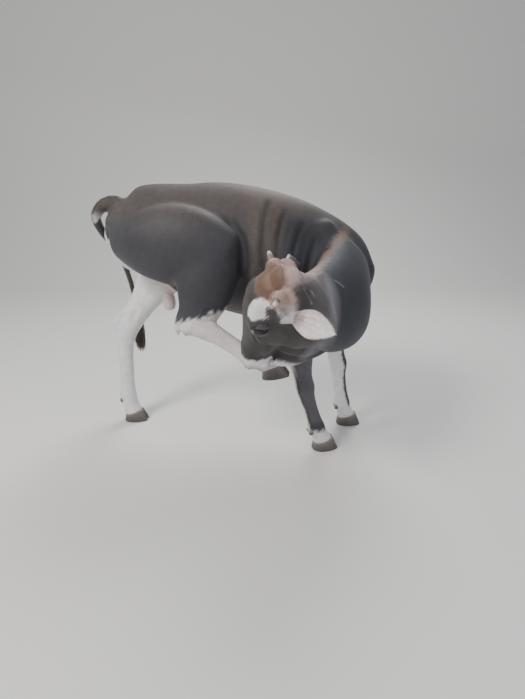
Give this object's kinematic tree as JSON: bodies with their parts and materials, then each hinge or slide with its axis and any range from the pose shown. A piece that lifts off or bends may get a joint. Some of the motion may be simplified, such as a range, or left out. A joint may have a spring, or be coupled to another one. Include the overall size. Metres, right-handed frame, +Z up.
{
  "type": "life-size romanian brown cattle calf figure",
  "caption": "Life-size still figure of a young brown bull calf standing with its head turned back to its raised hind leg",
  "frame": {"origin": "on the floor under the middle of the bounding box", "axes": "+X towards the chest, +Y towards the calf's left side, +Z up"},
  "size_m": [1.1756, 0.96, 1.0969],
  "materials": {
    "grey_coat": "short grey-brown hair",
    "pale_coat": "short white hair over pink skin",
    "horn": "grey-brown horn",
    "eye": "wet gloss"
  },
  "bodies": {
    "root": {"torso": "grey_coat", "neck": "grey_coat", "head": "grey_coat", "ear_left": "pale_coat", "ear_right": "pale_coat", "eye_left": "eye", "eye_right": "eye", "horn_bud_left": "horn", "horn_bud_right": "horn", "scrotum": "pale_coat", "tail": "grey_coat", "tail_switch": "grey_coat", "fore_leg_right_forearm": "grey_coat", "fore_leg_right_cannon": "grey_coat", "fore_leg_left_forearm": "grey_coat", "fore_leg_left_cannon": "grey_coat", "hind_leg_left_gaskin": "grey_coat", "hind_leg_left_cannon": "pale_coat", "hind_leg_right_shank": "grey_coat", "hind_leg_right_cannon": "pale_coat", "fore_leg_right_claw_left": "horn", "fore_leg_right_claw_right": "horn", "fore_leg_left_claw_left": "horn", "fore_leg_left_claw_right": "horn", "hind_leg_left_claw_left": "horn", "hind_leg_left_claw_right": "horn", "hind_leg_right_claw_left": "horn", "hind_leg_right_claw_right": "horn", "fore_leg_right_dewclaw_left": "horn", "fore_leg_right_dewclaw_right": "horn", "fore_leg_left_dewclaw_left": "horn", "fore_leg_left_dewclaw_right": "horn", "hind_leg_left_dewclaw_left": "horn", "hind_leg_left_dewclaw_right": "horn", "hind_leg_right_dewclaw_left": "horn", "hind_leg_right_dewclaw_right": "horn"}
  },
  "joints": []
}
